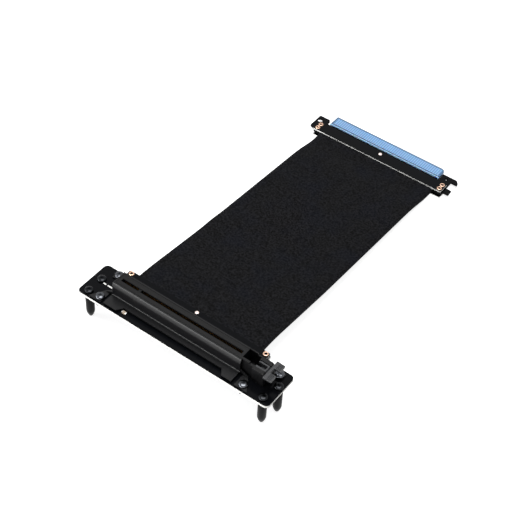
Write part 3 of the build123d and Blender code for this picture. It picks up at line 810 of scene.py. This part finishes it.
# %% [markdown]
# The eight ribbon cables lie side by side, four over four, inside one sleeve of thin black cloth
# with a leathery face. Cloth simulation isn't needed, because the sleeve is drawn tight over the
# cables: its line is theirs. The middle line falls from the tall board to the low one in straight
# runs with rounded corners, and the sleeve flares at both ends, where the cables part round the
# boards.

# %% The line of the sleeve
SPAN = 190.8
SLOPE = ((0.06, 0.0), (0.34, 0.36), (0.86, 0.80), (0.95, 1.0))
SLOPE_RADII = (80, 300, 100, 40)
SLEEVE_HALF = 1.4
SLEEVE_HALF_END = 2.25
tongue_low, tongue_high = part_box("edge_board")
wrap_low, wrap_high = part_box("cable_wrap")
near_middle = (board_low.z + board_high.z) / 2 / MM
far_middle = (tongue_low.z + tongue_high.z) / 2 / MM
END_GAP = 0.2
near_edge = wrap_low.y / MM - END_GAP


def line_height(along, side):
    """Height in mm of the sleeve's upper (side 1) or lower (side -1) face, this far along."""
    fall = near_middle - far_middle
    points = [(0.0, near_middle + side * SLEEVE_HALF_END)]
    points += [(a * SPAN, near_middle - d * fall + side * SLEEVE_HALF) for a, d in SLOPE]
    points += [(SPAN, far_middle + side * SLEEVE_HALF_END)]
    slopes = [(q[1] - p[1]) / (q[0] - p[0]) for p, q in zip(points, points[1:])]
    run = max(i for i, p in enumerate(points[:-1]) if along >= p[0] or i == 0)
    height = points[run][1] + slopes[run] * (along - points[run][0])
    for corner, radius in enumerate(SLOPE_RADII, start=1):
        before, after = slopes[corner - 1], slopes[corner]
        reach = radius * math.tan(abs(math.atan(after) - math.atan(before)) / 2)
        near = reach - abs(along - points[corner][0])
        if near > 0:
            height += (after - before) * near**2 / (4 * reach)
    return height


# %% [markdown]
# The section of the sleeve is flat above and below and round at its sides. Each cable lifts its
# own lane a little, and the wide gap in the middle of the row leaves the broadest hollow. Slow,
# shallow waves and one soft kink in the left side keep it from looking like sheet metal.

# %% The section of the sleeve
SIDE_BULGE = 0.8
LANES = ((-46.15, -25.02), (-24.82, -3.70), (-0.70, 20.43), (20.62, 41.75))
LANE_LIFT = 0.16
WAVE_HEIGHT = 0.14
KINK_PLACE, KINK_LENGTH, KINK_DEPTH = 69.4, 9.0, 0.45
left_centre, right_centre = wrap_low.x / MM + 0.5, wrap_high.x / MM - 0.5


def lift(x, along):
    """How far the cloth stands off the cables, in mm. It is never below nothing."""
    lane = 0.0
    for start, stop in LANES:
        if start < x < stop:
            u = (x - start) / (stop - start)
            lane = 1 - abs(2 * u - 1) ** 6
    ends = min(1.0, along / 12, (SPAN - along) / 12)
    wave = 0.5 + 0.5 * noise.noise(Vector((x / 22, along / 26, 3.7)))
    return LANE_LIFT * lane + WAVE_HEIGHT * wave * max(ends, 0.0)


def sleeve_ring(along, columns=56, side_steps=6):
    """One closed section, in metres, starting at the upper left and going round to the right."""
    top, bottom = line_height(along, 1), line_height(along, -1)
    middle, half = (top + bottom) / 2, (top - bottom) / 2
    kink = KINK_DEPTH * math.exp(-(((along - KINK_PLACE) / KINK_LENGTH) ** 2))
    ring = []
    width = right_centre - left_centre
    for i in range(columns):
        x = left_centre + width * i / (columns - 1)
        ring.append((x, top + lift(x, along)))
    for i in range(1, side_steps):
        turn = math.pi * i / side_steps
        ring.append((right_centre + SIDE_BULGE * math.sin(turn), middle + half * math.cos(turn)))
    for i in range(columns):
        x = right_centre - width * i / (columns - 1)
        ring.append((x, bottom))
    for i in range(1, side_steps):
        turn = math.pi * i / side_steps
        bulge = SIDE_BULGE + kink
        ring.append((left_centre - bulge * math.sin(turn), middle - half * math.cos(turn)))
    y = near_edge + along
    return [(x * MM, y * MM, z * MM) for x, z in ring]


# %% [markdown]
# The rings are joined into one tube, and a thin wall is given to it inwards.

STATIONS = 128
CLOTH_WALL = 0.22
first, last = END_GAP, SPAN - END_GAP
rings = [sleeve_ring(first + (last - first) * i / (STATIONS - 1)) for i in range(STATIONS)]
around = len(rings[0])
points = [point for ring in rings for point in ring]
faces = []
for i in range(STATIONS - 1):
    for j in range(around):
        k = (j + 1) % around
        faces.append((i * around + j, i * around + k, (i + 1) * around + k, (i + 1) * around + j))
mesh = bpy.data.meshes.new("cloth_sleeve")
mesh.from_pydata(points, [], faces)
sleeve = bpy.data.objects.new("cloth_sleeve", mesh)
bpy.context.scene.collection.objects.link(sleeve)
tidy_shell(sleeve)
apply_modifier(sleeve, "SOLIDIFY", thickness=CLOTH_WALL * MM, offset=-1.0)
smooth(sleeve, 50)
belongs(sleeve, leathery_cloth, ["cable_wrap"])

# %% [markdown]
# The feet are turned posts with a bullet tip, so that they find their holes in the case. The
# solids have a straight cone there; here the tip is rounded as the real one is, and the top is
# bored for its screw.

# %% Bullet posts
POST_PROFILE = [
    (0.55, 0.00),
    (0.95, 0.22),
    (1.35, 0.85),
    (1.80, 1.90),
    (2.20, 3.10),
    (2.46, 4.10),
    (2.58, 4.90),
    (2.60, 5.60),
    (2.60, 19.35),
    (2.45, 19.60),
    (1.65, 19.60),
    (1.65, 10.60),
]
post_model = turned("post_model", POST_PROFILE)
for corner in ("front_left", "front_right", "rear_left", "rear_right"):
    low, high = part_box("post_" + corner)
    foot = ((low.x + high.x) / 2, (low.y + high.y) / 2, 0)
    post = copy_to(post_model, "bullet_post_" + corner, foot)
    smooth(post, 35)
    belongs(post, black_post, ["post_" + corner])
bpy.data.objects.remove(post_model)

# %% [markdown]
# A pan head is a flat dome with a cross recess. The thread below is drawn as plain rings, because a
# helix this small can't be told from rings. The recess is cut with a boolean: two tapered bars at
# right angles, which is what the driver's tip looks like.

# %% Pan-head screws
PAN_HEAD = [
    (1.50, 0.00),
    (2.55, 0.00),
    (2.75, 0.15),
    (2.75, 0.80),
    (2.66, 1.10),
    (2.40, 1.40),
    (1.90, 1.63),
    (1.20, 1.76),
    (0.50, 1.80),
]
THREAD_PITCH, THREAD_ROOT, THREAD_CREST = 0.8, 1.28, 1.50
HEAD_TOP = PAN_HEAD[-1][1]
RECESS_SPAN, RECESS_WIDTH, RECESS_DEPTH = 3.1, 0.62, 1.15
RECESS_TAPER = 0.45
RECESS_TURN = 38
POST_SCREW_LENGTH, SHROUD_SCREW_LENGTH = 8.6, 6.1
THREAD_START = 0.35


def driver_bar(turn):
    """One bar of the driver's cross, narrower towards its end."""
    size = (RECESS_SPAN * MM, RECESS_WIDTH * MM, 2 * RECESS_DEPTH * MM)
    bar = block("driver_bar", size, (0, 0, HEAD_TOP * MM))
    bar.rotation_euler = (0, 0, turn)
    bpy.ops.object.transform_apply(location=False, rotation=True, scale=False)
    bpy.ops.object.mode_set(mode="EDIT")
    bpy.ops.mesh.select_mode(type="FACE")
    bpy.ops.mesh.select_all(action="DESELECT")
    bpy.ops.object.mode_set(mode="OBJECT")
    for face in bar.data.polygons:
        face.select = face.normal.z < -0.5
    bpy.ops.object.mode_set(mode="EDIT")
    bpy.ops.transform.resize(
        value=(RECESS_TAPER, RECESS_TAPER, 1),
        center_override=(0, 0, (HEAD_TOP - RECESS_DEPTH) * MM),
    )
    bpy.ops.object.mode_set(mode="OBJECT")
    return bar


def pan_screw(name, length):
    """A pan-head screw with its seat at height 0 and this much shank below, in millimetres."""
    height = -length + THREAD_START
    thread = [(1.05, -length), (THREAD_CREST, height)]
    while height + THREAD_PITCH < -0.2:
        thread.append((THREAD_ROOT, height + THREAD_PITCH * 0.5))
        height += THREAD_PITCH
        thread.append((THREAD_CREST, height))
    screw = turned(name, thread + PAN_HEAD)
    for quarter in (0, 90):
        bar = driver_bar(math.radians(RECESS_TURN + quarter))
        apply_modifier(screw, "BOOLEAN", operation="DIFFERENCE", object=bar, solver="EXACT")
        bpy.data.objects.remove(bar)
    return screw


POST_SCREWS = {
    "front_left": (-61.9, -9.0),
    "front_right": (61.9, -9.0),
    "rear_left": (-61.9, 2.1),
    "rear_right": (64.4, 2.1),
}
SHROUD_SCREWS = {
    "front_left": (-53.4, -9.1),
    "front_right": (48.6, -9.1),
    "rear_left": (-55.4, 10.0),
    "rear_right": (60.3, 8.4),
}
SHEET = 0.9
screw_model = pan_screw("post_screw_model", POST_SCREW_LENGTH)
for corner, (x, y) in POST_SCREWS.items():
    screw = copy_to(screw_model, "post_screw_" + corner, (x * MM, board_y + y * MM, board_top))
    smooth(screw, 32)
    belongs(screw, black_zinc, ["post_screws"])
bpy.data.objects.remove(screw_model)
screw_model = pan_screw("shroud_screw_model", SHROUD_SCREW_LENGTH)
for corner, (x, y) in SHROUD_SCREWS.items():
    seat = board_top + SHEET * MM
    screw = copy_to(screw_model, "shroud_screw_" + corner, (x * MM, board_y + y * MM, seat))
    smooth(screw, 32)
    belongs(screw, shade_darkened_nickel, ["shroud_screws"])
bpy.data.objects.remove(screw_model)

# %% [markdown]
# Hollow rivets clamp each pair of cover plates over the cables. Pressing rolls their rim outwards
# into a smooth doughnut, so the profile is a closed loop round the bore. The middle ones are solid
# and have a low domed head.

# %% Rolled eyelets and domed rivets
EYELET_PROFILE = [
    (0.92, 0.00),
    (0.88, 0.20),
    (0.95, 0.33),
    (1.08, 0.40),
    (1.30, 0.40),
    (1.52, 0.30),
    (1.65, 0.14),
    (1.70, 0.00),
    (0.92, 0.00),
]
RIVET_PROFILE = [(1.20, 0.00), (1.17, 0.16), (1.02, 0.29), (0.74, 0.37), (0.36, 0.40)]
EYELETS = {
    "near": {"left": (-50.25, -93.1), "right": (46.25, -93.1)},
    "far": {
        "left_inner": (-50.25, 101.95),
        "left_outer": (-50.25, 105.80),
        "right_inner": (46.25, 101.95),
        "right_outer": (46.25, 105.80),
    },
}
RIVETS = {"near": (-2.0, -93.1), "far": (-2.0, 105.8)}
ring_model = turned("ring_model", EYELET_PROFILE)
rivet_model = turned("rivet_model", RIVET_PROFILE)
for end, places in EYELETS.items():
    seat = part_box(end + "_eyelets")[0].z
    for spot, (x, y) in places.items():
        ring = copy_to(ring_model, f"eyelet_{end}_{spot}", (x * MM, y * MM, seat))
        smooth(ring, 60)
        belongs(ring, rose_gold_plate, [end + "_eyelets"])
    x, y = RIVETS[end]
    rivet = copy_to(rivet_model, f"rivet_{end}", (x * MM, y * MM, seat))
    smooth(rivet, 60)
    belongs(rivet, pale_rose_plate, [end + "_eyelets"])
bpy.data.objects.remove(ring_model)
bpy.data.objects.remove(rivet_model)

# %% [markdown]
# In each wall of the slot stands a row of spring contacts, one a millimetre: a thin strip whose
# belly leans into the gap, so that it presses on the card. One strip is drawn by extruding an edge
# along its bends. An array then repeats it, once for each run of the row.

# %% Spring contacts
CONTACT_BENDS = [
    (0.15, 24.0),
    (0.18, 25.6),
    (0.48, 27.2),
    (0.86, 28.5),
    (0.93, 29.1),
    (0.78, 29.8),
    (0.42, 30.7),
]
CONTACT_WIDTH, CONTACT_SHEET = 0.4, 0.16
CONTACT_RUNS = {"short": (-44.775, 11), "long": (-31.225, 71)}
slot_low, slot_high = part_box("slot_contacts")


def contact_strip(name, wall_y, inward, x):
    """One strip that stands by the wall at wall_y and leans inward, which is 1 or -1."""
    bpy.ops.object.select_all(action="DESELECT")
    bpy.ops.mesh.primitive_plane_add(size=1, location=(0, 0, 0))
    strip = bpy.context.object
    strip.name = name
    (foot, low), (knee, high) = CONTACT_BENDS[:2]
    forward, rise = inward * (knee - foot), high - low
    strip.scale = (CONTACT_WIDTH * MM, math.hypot(forward, rise) * MM, 1)
    strip.rotation_euler = (math.atan2(rise, forward), 0, 0)
    strip.location = (x * MM, wall_y + inward * (foot + knee) / 2 * MM, (low + high) / 2 * MM)
    bpy.ops.object.transform_apply(location=True, rotation=True, scale=True)
    pick_edges(strip, lambda a, b: min(a.z, b.z) > (high - 0.1) * MM)
    for (out, z), (next_out, next_z) in zip(CONTACT_BENDS[1:], CONTACT_BENDS[2:]):
        move = (0, inward * (next_out - out) * MM, (next_z - z) * MM)
        bpy.ops.mesh.extrude_region_move(TRANSFORM_OT_translate={"value": move})
    bpy.ops.object.mode_set(mode="OBJECT")
    apply_modifier(strip, "SOLIDIFY", thickness=CONTACT_SHEET * MM, offset=0.0)
    return strip


for side, wall_y, inward in (("front", slot_low.y, 1), ("rear", slot_high.y, -1)):
    for run, (x, count) in CONTACT_RUNS.items():
        strip = contact_strip(f"contacts_{side}_{run}", wall_y, inward, x)
        repeat_along_card(strip, count)
        tidy_shell(strip)
        belongs(strip, shade_dimmed_gold_plate, ["slot_contacts"])

# %% [markdown]
# The card edge carries a gold finger for each contact, on both faces. They are only a film on a
# real board. A finger is a thin slab with its corners cut, and an array repeats it at the same
# pitch.

# %% Gold fingers
FINGER_WIDTH, FINGER_CORNER = 0.7, 0.14
finger_low, finger_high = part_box("edge_fingers")
FINGER_FILM = 0.08


def finger(name, x, bottom):
    """One finger as long as the plated field, with its lower face at this height."""
    size = (FINGER_WIDTH * MM, finger_high.y - finger_low.y, FINGER_FILM * MM)
    middle = (finger_low.y + finger_high.y) / 2
    pad = block(name, size, (x * MM, middle, bottom + FINGER_FILM / 2 * MM))
    round_corners(pad, FINGER_FILM, FINGER_CORNER, 1)
    return pad


for face, bottom in (("upper", finger_high.z - FINGER_FILM * MM), ("lower", finger_low.z)):
    for run, (x, count) in CONTACT_RUNS.items():
        pads = finger(f"fingers_{face}_{run}", x, bottom)
        repeat_along_card(pads, count)
        belongs(pads, shade_dimmed_gold_plate, ["edge_fingers"])

# %% [markdown]
# A chip capacitor is a small ceramic block whose two ends are dipped in tin. We bevel a block, cut
# it across twice and give the outer faces the second finish.

# %% Chip capacitor
CHIP_END = 0.55
chip_low, chip_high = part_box("chip_capacitor")
chip = block("chip_block", chip_high - chip_low, (chip_low + chip_high) / 2)
apply_modifier(chip, "BEVEL", width=0.14 * MM, segments=2, limit_method="NONE")
bpy.ops.object.mode_set(mode="EDIT")
for cut_x in (chip_low.x + CHIP_END * MM, chip_high.x - CHIP_END * MM):
    bpy.ops.mesh.select_all(action="SELECT")
    bpy.ops.mesh.bisect(plane_co=(cut_x, chip_low.y, chip_low.z), plane_no=(1, 0, 0))
bpy.ops.object.mode_set(mode="OBJECT")
belongs(chip, fired_ceramic, ["chip_capacitor"])
chip.data.materials.append(dipped_tin)
chip_middle = (chip_low.x + chip_high.x) / 2
for face in chip.data.polygons:
    reach = abs(face.center.x - chip_middle)
    face.material_index = int(reach > (chip_high.x - chip_low.x) / 2 - CHIP_END * MM)
smooth(chip, 30)

# %% [markdown]
# Two dashes of white ink mark the left end of the slot. Silkscreen ink stands a few hundredths of a
# millimetre proud of the mask, so each dash is a very thin slab with round corners.

# %% Silkscreen dashes
INK_HEIGHT, INK_WIDTH, INK_ROUND = 0.03, 1.0, 0.25
DASHES = {"short": (-59.5, -57.3), "long": (-56.3, -52.3)}
DASH_ROW = board_y + 0.6 * MM
for size, (start, stop) in DASHES.items():
    dash = block(
        f"ink_dash_{size}",
        ((stop - start) * MM, INK_WIDTH * MM, INK_HEIGHT * MM),
        ((start + stop) / 2 * MM, DASH_ROW, board_top + INK_HEIGHT / 2 * MM),
    )
    round_corners(dash, INK_HEIGHT, INK_ROUND, 4)
    belongs(dash, screen_ink)
